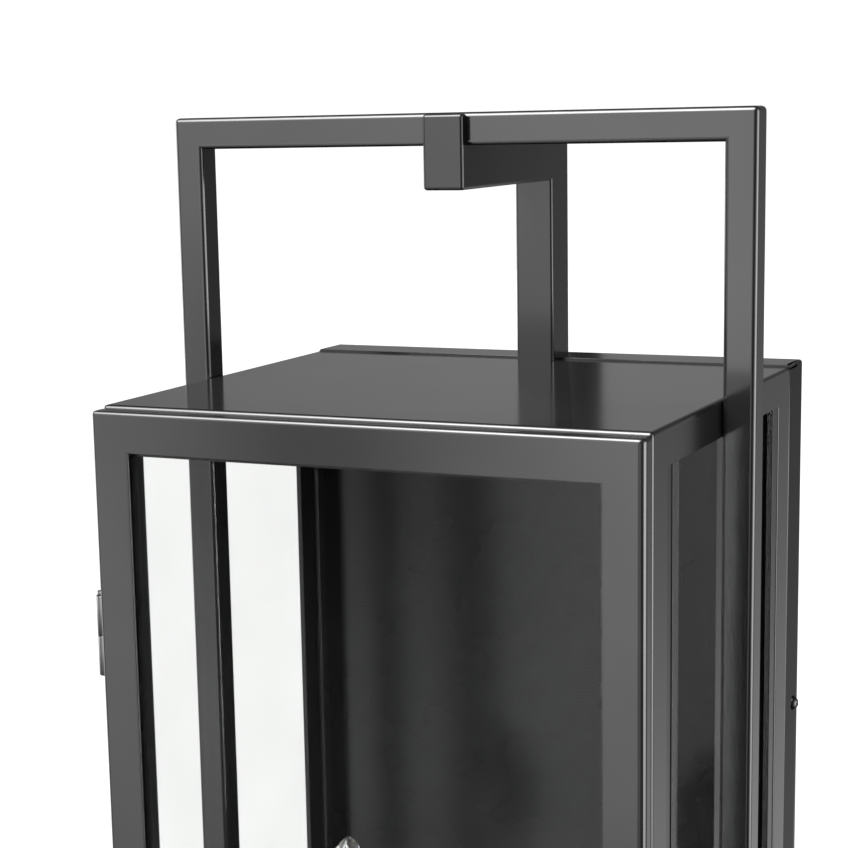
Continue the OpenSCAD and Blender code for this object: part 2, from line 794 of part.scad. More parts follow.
// Four bright filament strips on a glass stem
module bulb_filaments() {
    strip_h = 32;
    spread = 4.5;
    color("#e8d9a8") for (s = [-1, 1]) translate([s * lamp_pitch / 2, lamp_y, bulb_z]) {
        cylinder(d = 4, h = 14);
        translate([0, 0, 14]) cylinder(d = 1, h = strip_h + 4);
        for (a = [45:90:315]) rotate(a) {
            translate([spread, 0, 16]) cylinder(d = 1.4, h = strip_h);
            span([0, -0.3, 15.4], [spread, 0.3, 16]);
            span([0, -0.3, 16 + strip_h], [spread, 0.3, 16.6 + strip_h]);
        }
    }
}

// ---- Wiring ----

module wire_grommet() {
    color("#1b1b1b") translate([0, body_rear_y, wire_hole_z]) rotate([90, 0, 0])
        rotate_extrude() polygon([[3, -3.2], [wire_hole_d / 2 + 2, -3.2], [wire_hole_d / 2 + 2, -sheet_t],
            [wire_hole_d / 2, -sheet_t], [wire_hole_d / 2, sheet_t], [wire_hole_d / 2 + 2, sheet_t],
            [wire_hole_d / 2 + 2, sheet_t + 1.6], [3, sheet_t + 1.6]]);
}

// A round wire through points that are joined by straight runs along X, Y or Z
module wire(points) {
    for (i = [0:len(points) - 2]) {
        step = points[i + 1] - points[i];
        rod(points[i], step / norm(step), norm(step), wire_d);
        if (i > 0) translate(points[i]) sphere(d = wire_d);
    }
}

wire_floor_z = bottom_z + plate_t + 7;
wire_riser_y = body_rear_y - sheet_t - 1.6 - wire_d / 2 - 0.2;
wire_nut_x = 7;
wire_nut_y = -9;
wire_nut_z = wire_hole_z + 28;

// One lead from each socket, down its stem, along the floor, up beside the inner panel and out
// through the grommet to its wire nut
module lead_wires() {
    for (s = [-1, 1]) color(s < 0 ? "#151515" : "#e6e6e2") {
        x = s * (wire_d / 2 + 0.2);
        wire([[s * lamp_pitch / 2, lamp_y, socket_z + 8], [s * lamp_pitch / 2, lamp_y, wire_floor_z],
            [x, lamp_y, wire_floor_z], [x, wire_riser_y, wire_floor_z], [x, wire_riser_y, wire_hole_z],
            [x, wire_nut_y, wire_hole_z], [s * wire_nut_x, wire_nut_y, wire_hole_z],
            [s * wire_nut_x, wire_nut_y, wire_nut_z]]);
    }
}

module wire_nuts() {
    nut_h = 16;
    for (s = [-1, 1]) color(s < 0 ? "#202020" : "#d8d8d4")
        translate([s * wire_nut_x, wire_nut_y, wire_nut_z - 8]) difference() {
            cylinder(d1 = 10, d2 = 6.5, h = nut_h);
            translate([0, 0, -eps]) cylinder(d = wire_d, h = 8 + eps);
        }
}

mounting_plate();
ground_screw();
backplate();
pan_gasket();
side_screws();
rear_panel();
inner_back_panel();
back_panel_screws();
left_side_frame();
right_side_frame();
top_plate();
bottom_plate();
left_glass();
right_glass();
left_glass_channels();
right_glass_channels();
strap();
strap_end_caps();
strap_screws();
hook_post();
hook_arm();
door_frame();
door_glass();
door_back_frame();
door_frame_screws();
door_knob();
strike_plate();
magnet_catch();
magnet();
upper_hinge_body_leaf();
upper_hinge_door_leaf();
upper_hinge_pin();
lower_hinge_body_leaf();
lower_hinge_door_leaf();
lower_hinge_pin();
hinge_body_rivets();
hinge_door_rivets();
socket_bracket();
bracket_screws();
candle_cups();
socket_stems();
stem_nuts();
left_candle_sleeve();
right_candle_sleeve();
left_socket();
right_socket();
left_bulb_glass();
right_bulb_glass();
bulb_bases();
bulb_filaments();
wire_grommet();
lead_wires();
wire_nuts();
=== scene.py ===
import math
import bpy
import bmesh
from mathutils import Matrix, Vector


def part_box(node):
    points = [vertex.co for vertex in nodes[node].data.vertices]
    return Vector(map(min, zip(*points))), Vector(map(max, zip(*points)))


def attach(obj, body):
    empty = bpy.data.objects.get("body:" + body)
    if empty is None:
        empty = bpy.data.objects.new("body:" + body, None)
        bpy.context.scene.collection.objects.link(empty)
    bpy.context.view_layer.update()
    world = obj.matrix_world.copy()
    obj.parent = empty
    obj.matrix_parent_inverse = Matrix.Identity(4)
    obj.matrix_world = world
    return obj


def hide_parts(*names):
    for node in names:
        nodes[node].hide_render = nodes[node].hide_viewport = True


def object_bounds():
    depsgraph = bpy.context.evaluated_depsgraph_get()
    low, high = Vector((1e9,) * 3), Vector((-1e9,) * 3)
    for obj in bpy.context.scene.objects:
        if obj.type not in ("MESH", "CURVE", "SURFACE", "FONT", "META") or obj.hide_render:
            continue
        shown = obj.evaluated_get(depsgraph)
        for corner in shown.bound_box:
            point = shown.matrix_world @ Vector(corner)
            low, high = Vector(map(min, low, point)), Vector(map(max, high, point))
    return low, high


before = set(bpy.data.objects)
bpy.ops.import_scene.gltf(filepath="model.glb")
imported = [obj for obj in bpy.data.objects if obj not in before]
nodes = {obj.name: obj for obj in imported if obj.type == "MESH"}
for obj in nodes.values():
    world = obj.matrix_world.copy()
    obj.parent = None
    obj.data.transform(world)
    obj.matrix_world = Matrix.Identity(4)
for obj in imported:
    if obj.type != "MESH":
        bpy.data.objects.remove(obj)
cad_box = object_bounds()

# The outdoor wall lantern's looks. The folded sheets, tubes, channels and bulbs are pieces that stand for
# plain CAD nodes, with their real bend radii. Every other node keeps its CAD shape and gets a finish.

MM = 0.001
scene = bpy.context.scene
scene.view_settings.view_transform = "Standard"


# ---------------------------------------------------------------- materials

def new_material(name):
    m = bpy.data.materials.new(name)
    m.use_nodes = True
    m.node_tree.nodes.clear()
    return m, m.node_tree.nodes, m.node_tree.links


def add(ns, kind, **settings):
    n = ns.new("ShaderNode" + kind)
    for key, value in settings.items():
        setattr(n, key, value)
    return n


def noise(ns, ls, coord, scale, detail=2.0, rough=0.5, stretch=None):
    n = add(ns, "TexNoise")
    n.inputs["Scale"].default_value = scale
    n.inputs["Detail"].default_value = detail
    n.inputs["Roughness"].default_value = rough
    if stretch:
        mp = add(ns, "Mapping")
        mp.inputs["Scale"].default_value = stretch
        ls.new(coord, mp.inputs["Vector"])
        coord = mp.outputs["Vector"]
    ls.new(coord, n.inputs["Vector"])
    return n.outputs["Fac"]


def ramp(ns, ls, fac, lo, hi, a=0.3, b=0.7):
    """A number or colour that goes from lo to hi as fac goes from a to b"""
    if isinstance(lo, (int, float)):
        n = add(ns, "MapRange")
        n.inputs["From Min"].default_value, n.inputs["From Max"].default_value = a, b
        n.inputs["To Min"].default_value, n.inputs["To Max"].default_value = lo, hi
        ls.new(fac, n.inputs["Value"])
        return n.outputs["Result"]
    n = add(ns, "ValToRGB")
    e = n.color_ramp.elements
    e[0].position, e[0].color = a, (*lo, 1)
    e[1].position, e[1].color = b, (*hi, 1)
    ls.new(fac, n.inputs["Fac"])
    return n.outputs["Color"]


def bumped(ns, ls, height, strength, distance, under=None):
    n = add(ns, "Bump")
    n.inputs["Strength"].default_value = strength
    n.inputs["Distance"].default_value = distance
    ls.new(height, n.inputs["Height"])
    if under is not None:
        ls.new(under, n.inputs["Normal"])
    return n.outputs["Normal"]


def maths(ns, ls, operation, a, b=0.0):
    """One Math node on one or two values, each a number or another node's output"""
    n = add(ns, "Math", operation=operation)
    for socket, value in zip(n.inputs, (a, b)):
        if isinstance(value, (int, float)):
            socket.default_value = value
        else:
            ls.new(value, socket)
    return n.outputs[0]


def finish_material(ns, ls, bsdf):
    out = add(ns, "OutputMaterial")
    ls.new(bsdf.outputs[0], out.inputs["Surface"])


def powder_coat(name, dark=0.0045, light=0.007, rough=(0.11, 0.15), shine=0.5):
    """Satin black powder coat: faint orange peel, a finer grain, and slightly uneven gloss"""
    m, ns, ls = new_material(name)
    co = add(ns, "TexCoord").outputs["Object"]
    peel = noise(ns, ls, co, 620, 2)
    fine = noise(ns, ls, co, 2600, 3, 0.6)
    cloud = noise(ns, ls, co, 22, 3)
    b = add(ns, "BsdfPrincipled")
    b.inputs["Specular IOR Level"].default_value = shine
    ls.new(ramp(ns, ls, cloud, (dark, dark, dark * 1.05), (light, light, light * 1.05), 0.35, 0.65),
           b.inputs["Base Color"])
    ls.new(ramp(ns, ls, fine, *rough), b.inputs["Roughness"])
    grain = 0.02
    orange_peel = bumped(ns, ls, peel, grain, 0.00012)
    ls.new(bumped(ns, ls, fine, grain, 0.00005, orange_peel), b.inputs["Normal"])
    finish_material(ns, ls, b)
    return m


def metal(name, lo, hi, rough=(0.28, 0.45), brush=(1, 1, 1), scale=300, grain=0.08, bands=0.0):
    """Bare or plated metal, brushed along the axis whose brush number is small. bands makes threads."""
    m, ns, ls = new_material(name)
    co = add(ns, "TexCoord").outputs["Object"]
    streak = noise(ns, ls, co, scale, 4, 0.6, brush)
    blotch = noise(ns, ls, co, 60, 3)
    b = add(ns, "BsdfPrincipled")
    b.inputs["Metallic"].default_value = 1.0
    ls.new(ramp(ns, ls, blotch, lo, hi), b.inputs["Base Color"])
    ls.new(ramp(ns, ls, streak, *rough), b.inputs["Roughness"])
    normal = bumped(ns, ls, streak, grain, 0.0001)
    if bands:
        w = add(ns, "TexWave", wave_type="BANDS", bands_direction="Z", wave_profile="SIN")
        w.inputs["Scale"].default_value = bands
        ls.new(co, w.inputs["Vector"])
        normal = bumped(ns, ls, w.outputs["Fac"], 0.9, 0.0009, normal)
    ls.new(normal, b.inputs["Normal"])
    finish_material(ns, ls, b)
    return m


def moulded(name, lo, hi, rough=(0.45, 0.6), scale=900, grain=0.15, specular=0.5):
    """Moulded plastic or rubber with a fine grain"""
    m, ns, ls = new_material(name)
    co = add(ns, "TexCoord").outputs["Object"]
    fine = noise(ns, ls, co, scale, 3)
    cloud = noise(ns, ls, co, 90, 2)
    b = add(ns, "BsdfPrincipled")
    b.inputs["Specular IOR Level"].default_value = specular
    ls.new(ramp(ns, ls, cloud, lo, hi), b.inputs["Base Color"])
    ls.new(ramp(ns, ls, fine, *rough), b.inputs["Roughness"])
    ls.new(bumped(ns, ls, fine, grain, 0.0001), b.inputs["Normal"])
    finish_material(ns, ls, b)
    return m


def window(name, tint, ior=1.14):
    """A flat pane: clear straight through, with a thin mirror coat that grows at a glancing angle"""
    m, ns, ls = new_material(name)
    co = add(ns, "TexCoord").outputs["Object"]
    normal = bumped(ns, ls, noise(ns, ls, co, 9, 1), 0.002, 0.001)
    clear = add(ns, "BsdfTransparent")
    deeper = tuple(t * 0.985 for t in tint)
    ls.new(ramp(ns, ls, noise(ns, ls, co, 30, 2), tint, deeper), clear.inputs["Color"])
    shine = add(ns, "BsdfGlossy")
    shine.inputs["Roughness"].default_value = 0.02
    ls.new(normal, shine.inputs["Normal"])
    edge = add(ns, "Fresnel")
    edge.inputs["IOR"].default_value = ior
    front = maths(ns, ls, "SUBTRACT", 1.0, add(ns, "NewGeometry").outputs["Backfacing"])
    mix = add(ns, "MixShader")
    ls.new(maths(ns, ls, "MULTIPLY", edge.outputs[0], front), mix.inputs[0])
    ls.new(clear.outputs[0], mix.inputs[1])
    ls.new(shine.outputs[0], mix.inputs[2])
    finish_material(ns, ls, mix)
    return m


def blown_glass(name, tint):
    """Clear curved glass that bends what is behind it. Lamps reach what it encloses."""
    m, ns, ls = new_material(name)
    co = add(ns, "TexCoord").outputs["Object"]
    b = add(ns, "BsdfPrincipled")
    b.inputs["Base Color"].default_value = (*tint, 1)
    b.inputs["Roughness"].default_value = 0.0
    b.inputs["IOR"].default_value = 1.47
    b.inputs["Transmission Weight"].default_value = 1.0
    ls.new(bumped(ns, ls, noise(ns, ls, co, 60, 1), 0.03, 0.001), b.inputs["Normal"])
    clear = add(ns, "BsdfTransparent")
    clear.inputs["Color"].default_value = (*[t * 0.97 for t in tint], 1)
    path = add(ns, "LightPath")
    mix = add(ns, "MixShader")
    ls.new(path.outputs["Is Shadow Ray"], mix.inputs[0])
    ls.new(b.outputs[0], mix.inputs[1])
    ls.new(clear.outputs[0], mix.inputs[2])
    finish_material(ns, ls, mix)
    return m


def two_wires(name):
    """Black insulation on the left lead and white on the right"""
    m, ns, ls = new_material(name)
    co = add(ns, "TexCoord").outputs["Object"]
    sep = add(ns, "SeparateXYZ")
    ls.new(co, sep.inputs[0])
    side = add(ns, "MapRange")
    side.inputs["From Min"].default_value, side.inputs["From Max"].default_value = -0.0001, 0.0001
    ls.new(sep.outputs["X"], side.inputs["Value"])
    fine = noise(ns, ls, co, 1500, 2)
    b = add(ns, "BsdfPrincipled")
    ls.new(ramp(ns, ls, side.outputs["Result"], (0.012, 0.012, 0.012), (0.62, 0.61, 0.57), 0.0, 1.0),
           b.inputs["Base Color"])
    ls.new(ramp(ns, ls, fine, 0.38, 0.52), b.inputs["Roughness"])
    ls.new(bumped(ns, ls, fine, 0.1, 0.00008), b.inputs["Normal"])
    finish_material(ns, ls, b)
    return m


coat = powder_coat("black powder coat")
coat_side = powder_coat("black powder coat on the sides", rough=(0.19, 0.23))
coat_hook = powder_coat("black powder coat on the hook", rough=(0.13, 0.17), shine=0.38)
coat_in = powder_coat("black powder coat inside", 0.0055, 0.0085, (0.16, 0.22), shine=0.24)
coat_back = powder_coat("black powder coat on the pan", 0.005, 0.008, (0.13, 0.17), shine=0.3)
zinc = metal("zinc plate", (0.5, 0.51, 0.52), (0.66, 0.67, 0.67), (0.25, 0.42), (1, 1, 0.08), 500)
dark_zinc = metal("black zinc", (0.1, 0.1, 0.103), (0.16, 0.16, 0.164), (0.3, 0.42), (1, 1, 1), 500)
green = moulded("green screw paint", (0.02, 0.13, 0.04), (0.035, 0.18, 0.06), (0.28, 0.4))
pane = window("window glass", (0.963, 0.966, 0.963))
side_pane = window("window glass in the sides", (0.925, 0.928, 0.925), ior=1.2)
bulb_clear = blown_glass("bulb glass", (0.985, 0.987, 0.987))
brass = metal("pale brass screw shell", (0.5, 0.45, 0.35), (0.62, 0.57, 0.45), (0.2, 0.36),
              grain=0.05, bands=37)
plastic = moulded("black plastic", (0.014, 0.014, 0.015), (0.024, 0.024, 0.025))
phenolic = moulded("phenolic", (0.012, 0.0115, 0.011), (0.024, 0.022, 0.02), (0.35, 0.5), 500)
rubber = moulded("rubber", (0.011, 0.011, 0.011), (0.02, 0.02, 0.02), (0.75, 0.9), 1500, 0.35, 0.3)
magnet_steel = metal("magnet poles", (0.3, 0.3, 0.31), (0.42, 0.42, 0.43), (0.3, 0.45), (0.1, 1, 1), 400)
tungsten = metal("tungsten", (0.16, 0.16, 0.165), (0.24, 0.24, 0.245), (0.35, 0.5), (1, 1, 0.1), 900)
wires = two_wires("wire insulation")


def dress(obj, material):
    obj.data.materials.clear()
    obj.data.materials.append(material)


# ---------------------------------------------------------------- mesh helpers

def corner_normals(bm, rounded):
    """Normals that keep the flat faces flat, and run smoothly from them over the rounded edges"""
    bm.normal_update()
    normals = []
    for f in bm.faces:
        for loop in f.loops:
            if f not in rounded:
                normals.append(f.normal.copy())
                continue
            level = [g for g in loop.vert.link_faces if g.normal.dot(f.normal) > 0.5]
            flat = [g for g in level if g not in rounded]
            total = sum((g.normal * g.calc_area() for g in flat or level), Vector())
            normals.append(total.normalized())
    return normals


def object_from(bm, name):
    mesh = bpy.data.meshes.new(name)
    bm.to_mesh(mesh)
    bm.free()
    o = bpy.data.objects.new(name, mesh)
    scene.collection.objects.link(o)
    return o


def piece_from(bm, name, body, material, replaced, rounded=None):
    """A piece of the mesh that stands for the replaced nodes. rounded is the set of its rounded faces,
    or None where it is smooth all over."""
    normals = None if rounded is None else corner_normals(bm, rounded)
    o = object_from(bm, name)
    for p in o.data.polygons:
        p.use_smooth = True
    if normals:
        o.data.normals_split_custom_set(normals)
    dress(o, material)
    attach(o, body)
    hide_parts(*replaced)
    return o


def prism(bm, start, end):
    """Adds the solid between two outlines with the same number of points, in mm"""
    a = [bm.verts.new([c * MM for c in p]) for p in start]
    b = [bm.verts.new([c * MM for c in p]) for p in end]
    bm.faces.new(b)
    bm.faces.new(a[::-1])
    for i in range(len(a)):
        j = (i + 1) % len(a)
        bm.faces.new([a[i], a[j], b[j], b[i]])


def cells(xs, ys, zs, solid, seam=None):
    """The surface of the cells of a grid of planes, in mm, whose centres are solid. A flat face with
    a window in it stays cut along the edges that seam(mid, along, normal) picks."""
    bm = bmesh.new()
    verts = {}

    def vert(i, j, k):
        if (i, j, k) not in verts:
            verts[(i, j, k)] = bm.verts.new((xs[i] * MM, ys[j] * MM, zs[k] * MM))
        return verts[(i, j, k)]

    nx, ny, nz = len(xs) - 1, len(ys) - 1, len(zs) - 1
    full = {
        (i, j, k)
        for i in range(nx) for j in range(ny) for k in range(nz)
        if solid((xs[i] + xs[i + 1]) / 2, (ys[j] + ys[j + 1]) / 2, (zs[k] + zs[k + 1]) / 2)
    }
    sides = {
        (1, 0, 0): [(1, 0, 0), (1, 1, 0), (1, 1, 1), (1, 0, 1)],
        (-1, 0, 0): [(0, 0, 0), (0, 0, 1), (0, 1, 1), (0, 1, 0)],
        (0, 1, 0): [(0, 1, 0), (0, 1, 1), (1, 1, 1), (1, 1, 0)],
        (0, -1, 0): [(0, 0, 0), (1, 0, 0), (1, 0, 1), (0, 0, 1)],
        (0, 0, 1): [(0, 0, 1), (1, 0, 1), (1, 1, 1), (0, 1, 1)],
        (0, 0, -1): [(0, 0, 0), (0, 1, 0), (1, 1, 0), (1, 0, 0)],
    }
    for (i, j, k) in sorted(full):
        for (a, b, c), quad in sides.items():
            if (i + a, j + b, k + c) not in full:
                bm.faces.new([vert(i + p, j + q, k + r) for p, q, r in quad])
    if seam is None:
        bmesh.ops.dissolve_limit(bm, angle_limit=0.01, verts=bm.verts, edges=bm.edges)
        return bm
    bm.normal_update()
    level = [e for e in bm.edges if len(e.link_faces) == 2 and e.calc_face_angle(0) < 0.01
             and not seam(*edge_facts(e))]
    bmesh.ops.dissolve_edges(bm, edges=level, use_verts=True, use_face_split=False)
    bm.normal_update()
    return bm


def edge_facts(e):
    """An edge's middle in mm, the axis that it runs along, and the sum of its faces' normals"""
    mid = (e.verts[0].co + e.verts[1].co) / 2 / MM
    d = e.verts[1].co - e.verts[0].co
    along = max(range(3), key=lambda i: abs(d[i]))
    n = sum((f.normal for f in e.link_faces), Vector())
    return mid, along, n


def round_edges(bm, rule):
    """Rounds each right-angled outer edge by the radius in mm that rule(mid, along, normal) gives"""
    bm.normal_update()
    marks = bm.edges.layers.int.new("radius")
    groups = {}
    for e in bm.edges:
        if len(e.link_faces) == 2 and e.is_convex and e.calc_face_angle(0) > 0.5:
            r = rule(*edge_facts(e))
            if r:
                groups.setdefault(r, []).append(e)
    radii = sorted(groups, reverse=True)
    rounded = set()
    for i, r in enumerate(radii):
        for e in groups[r]:
            e[marks] = i + 1
    for i, r in enumerate(radii):
        chosen = [e for e in bm.edges if e[marks] == i + 1]
        made = bmesh.ops.bevel(bm, geom=chosen, offset=r * MM, offset_type="OFFSET", segments=4,
                               profile=0.5, affect="EDGES", clamp_overlap=False, miter_outer="SHARP")
        rounded = {f for f in rounded if f.is_valid} | set(made["faces"])
    bmesh.ops.recalc_face_normals(bm, faces=bm.faces)
    return rounded


def near(a, b):
    """Whether two places in mm are the same plane"""
    return abs(a - b) < 0.05


def span(node):
    """A CAD node's lowest and highest corner, in mm"""
    lo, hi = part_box(node)
    return lo / MM, hi / MM


def soften(node, width):
    """Small rounded edges on a CAD node, by modifiers alone"""
    o = nodes[node]
    w = o.modifiers.new("weld", "WELD")
    w.merge_threshold = 1e-6
    d = o.modifiers.new("flat faces", "DECIMATE")
    d.decimate_type, d.angle_limit = "DISSOLVE", math.radians(0.5)
    b = o.modifiers.new("edges", "BEVEL")
    b.width, b.segments = width * MM, 2
    b.limit_method, b.angle_limit = "ANGLE", math.radians(35)
    b.harden_normals = True


# ---------------------------------------------------------------- the box

# Edge radii in mm
FOLD = 1.6                # outer folds of the box and the door
DOOR_SIDE_FOLD = 2.6      # the door's right front fold
TUBE = 2.0                # corners of the strap's tube
HOOK_TUBE = 1.4           # corners of the hook's tube
PAN_CORNER = 2.0          # the pan's four corners
PAN_FOLD = 1.2            # its front folds at the sides
WORN = 0.9                # the rear edge of a side window
ROLLED = 0.7              # the door's rear and opening edges
CUT = 0.22                # cut edges of the sheet

# Sizes in mm that the nodes' boxes don't give
SHEET = 1.2               # folded side, door and pan sheets
PLATE = 2.0               # top plate
FLANGE = 12               # width of the flange that frames the doorway
LIP = 4.5                 # thickness of the hook's lip
SIDE_LAP = (3, 2)         # how far a side pane reaches behind its window's edges, in Y and in Z
DOOR_LAP = 5              # the same for the door's pane

side_lo, side_hi = span("right_side_frame")
pane_lo, pane_hi = span("right_glass")
chan_lo, chan_hi = span("right_glass_channels")
top_lo, top_hi = span("top_plate")
pan_lo, pan_hi = span("backplate")
post_lo, post_hi = span("hook_post")
arm_lo, arm_hi = span("hook_arm")
strap_lo, strap_hi = span("strap")
door_lo, door_hi = span("door_frame")
dglass_lo, dglass_hi = span("door_glass")
half = side_hi.x
window_y = (pane_lo.y + SIDE_LAP[0], pane_hi.y - SIDE_LAP[0])
window_z = (pane_lo.z + SIDE_LAP[1], pane_hi.z - SIDE_LAP[1])


def side_piece(sign, node):
    """A side sheet with its window and its front flange"""
    inner = half - SHEET
    xs = [side_lo.x, inner, half]
    ys = [side_lo.y, side_lo.y + SHEET, *window_y, side_hi.y]
    zs = [side_lo.z, *window_z, side_hi.z]

    def solid(x, y, z):
        if x > inner:
            return not (window_y[0] < y < window_y[1] and window_z[0] < z < window_z[1])
        return y < side_lo.y + SHEET

    def seam(mid, along, n):
        return along == 2 and abs(n.x) > 1 and (near(mid.y, window_y[0]) or near(mid.y, window_y[1]))

    bm = cells(xs, ys, zs, solid, seam)

    def rule(mid, along, n):
        if near(mid.x, half) and near(mid.y, side_lo.y) and along == 2:
            return FOLD
        if near(mid.z, side_lo.z) or near(mid.z, side_hi.z) or near(mid.y, side_hi.y):
            return 0
        if near(mid.x, half) and near(mid.y, window_y[1]) and along == 2:
            return WORN
        return CUT

    rounded = round_edges(bm, rule)
    if sign < 0:
        bmesh.ops.scale(bm, vec=(-1, 1, 1), verts=bm.verts)
        bmesh.ops.reverse_faces(bm, faces=bm.faces)
    piece_from(bm, node + "_sheet", "housing", coat_side, (node,), rounded)


side_piece(1, "right_side_frame")
side_piece(-1, "left_side_frame")


def top_piece():
    """The top plate with the flange at its front, and the notch for the hook post"""
    inner, under = half - FLANGE, top_hi.z - PLATE
    xs = [-half, -inner, post_lo.x, post_hi.x, inner, half]
    ys = [top_lo.y, top_lo.y + SHEET, post_lo.y, top_hi.y]
    zs = [top_lo.z, under, top_hi.z]

    def solid(x, y, z):
        if z > under:
            return not (abs(x) < post_hi.x and y > post_lo.y)
        return abs(x) < inner and y < top_lo.y + SHEET

    bm = cells(xs, ys, zs, solid)

    def rule(mid, along, n):
        outside = near(mid.z, top_hi.z)
        if outside and (near(abs(mid.x), half) or near(mid.y, top_lo.y)):
            return FOLD
        if along == 2 and near(abs(mid.x), half) and near(mid.y, top_lo.y):
            return FOLD
        if outside and near(mid.y, top_hi.y):
            return 0.3
        return 0

    rounded = round_edges(bm, rule)
    piece_from(bm, "top_plate_sheet", "housing", coat, ("top_plate",), rounded)


top_piece()


def pan_piece():
    """The folded pan of the backplate, open at the wall"""
    xs = [pan_lo.x, pan_lo.x + SHEET, post_lo.x, post_hi.x, pan_hi.x - SHEET, pan_hi.x]
    ys = [pan_lo.y, pan_lo.y + SHEET, post_hi.y, pan_hi.y]
    zs = [pan_lo.z, pan_lo.z + SHEET, post_lo.z, pan_hi.z - SHEET, pan_hi.z]

    def solid(x, y, z):
        if abs(x) < post_hi.x and y < post_hi.y and z > post_lo.z:
            return False
        return not (abs(x) < pan_hi.x - SHEET and y > pan_lo.y + SHEET
                    and pan_lo.z + SHEET < z < pan_hi.z - SHEET)

    bm = cells(xs, ys, zs, solid)

    def rule(mid, along, n):
        if along == 1 and near(abs(mid.x), pan_hi.x):
            return PAN_CORNER
        if along == 2 and near(mid.y, pan_lo.y) and near(abs(mid.x), pan_hi.x):
            return PAN_FOLD
        if near(mid.y, pan_lo.y) and (near(mid.z, pan_hi.z) or near(mid.z, pan_lo.z)):
            return CUT
        return CUT if near(mid.y, pan_hi.y) else 0

    rounded = round_edges(bm, rule)
    o = piece_from(bm, "backplate_pan", "housing", coat_back, ("backplate",), rounded)
    # the sides shade as if they leaned a little, as the draft of the press leaves them
    lean = Vector((0, -0.15, 0))
    normals = [c.vector.copy() for c in o.data.corner_normals]
    o.data.normals_split_custom_set([(n + lean).normalized() if abs(n.x) > 0.9 else n for n in normals])


pan_piece()


def strap_piece():
    """Square tube up both sides and over the top, with its welded corners ground flush"""
    under = post_hi.z
    xs = [strap_lo.x, -half, half, strap_hi.x]
    ys = [strap_lo.y, strap_hi.y]
    zs = [strap_lo.z, under, strap_hi.z]
    bm = cells(xs, ys, zs, lambda x, y, z: abs(x) > half or z > under)

    def rule(mid, along, n):
        return 0 if near(mid.z, strap_lo.z) else TUBE

    rounded = round_edges(bm, rule)
    piece_from(bm, "strap_tube", "housing", coat, ("strap",), rounded)


strap_piece()


def hook_piece():
    """The post and the arm with its lip: one outline from the side, mitred and ground flush"""
    x0, x1 = post_lo.x, post_hi.x
    rear, front, foot, top = post_hi.y, post_lo.y, post_lo.z, post_hi.z
    join, tip, lip_y = arm_lo.z, arm_lo.y, arm_lo.y + LIP
    outline = [(rear, foot), (rear, top), (lip_y, top), (lip_y, arm_hi.z), (tip, arm_hi.z), (tip, join),
               (front, join), (front, foot)]
    bm = bmesh.new()
    prism(bm, [(x0, y, z) for y, z in outline], [(x1, y, z) for y, z in outline])
    bmesh.ops.recalc_face_normals(bm, faces=bm.faces)

    def rule(mid, along, n):
        if near(mid.z, foot):
            return 0
        if near(mid.y, lip_y) and along != 0:
            return 0.5
        return HOOK_TUBE

    rounded = round_edges(bm, rule)
    piece_from(bm, "hook_tube", "housing", coat_hook, ("hook_post", "hook_arm"), rounded)


hook_piece()


# ---------------------------------------------------------------- side windows

def channel_pieces(sign, node):
    """The front and rear channels of a side pane: a flat face with a rounded rib at its free edge"""
    out_x, glass_out, glass_in, in_x = half - SHEET, pane_hi.x + 0.02, pane_lo.x - 0.02, chan_lo.x
    face, start, seat = half - 0.5, chan_lo.y, chan_lo.y + 1.4
    rib_r, roll_r = 0.45, 0.95

    def section(show, lip):
        """The front channel from its back, past the rib at its free edge, to its rolled lip, as (x, y)"""
        free, inner = window_y[0] + show, window_y[0] + lip
        rib = [(face + rib_r * math.sin(a), free - 0.6 - rib_r * math.cos(a))
               for a in [math.radians(d) for d in range(0, 181, 20)]]
        roll = [(in_x + 0.05 + roll_r * math.cos(a), inner - 0.9 + roll_r * math.sin(a))
                for a in [math.radians(d) for d in range(20, 201, 20)]]
        return [(in_x, start), (out_x, start), (out_x, window_y[0] + 0.05), (face, window_y[0] + 0.05),
                *rib, (face, free), (glass_out, free), (glass_out, seat), (glass_in, seat), *roll]

    front = section(7.2, 0.4)
    rear = [(x, window_y[0] + window_y[1] - y) for x, y in section(9.0, 2.0)]
    bm = bmesh.new()
    for outline in (front, rear):
        prism(bm, [(sign * x, y, chan_lo.z) for x, y in outline],
              [(sign * x, y, chan_hi.z) for x, y in outline])
    bmesh.ops.recalc_face_normals(bm, faces=bm.faces)
    bm.normal_update()
    bends = {f for f in bm.faces if max(abs(c) for c in f.normal) < 0.99}
    piece_from(bm, node + "_profiles", "housing", coat_in, (node,), bends)


channel_pieces(1, "right_glass_channels")
channel_pieces(-1, "left_glass_channels")


# ---------------------------------------------------------------- door

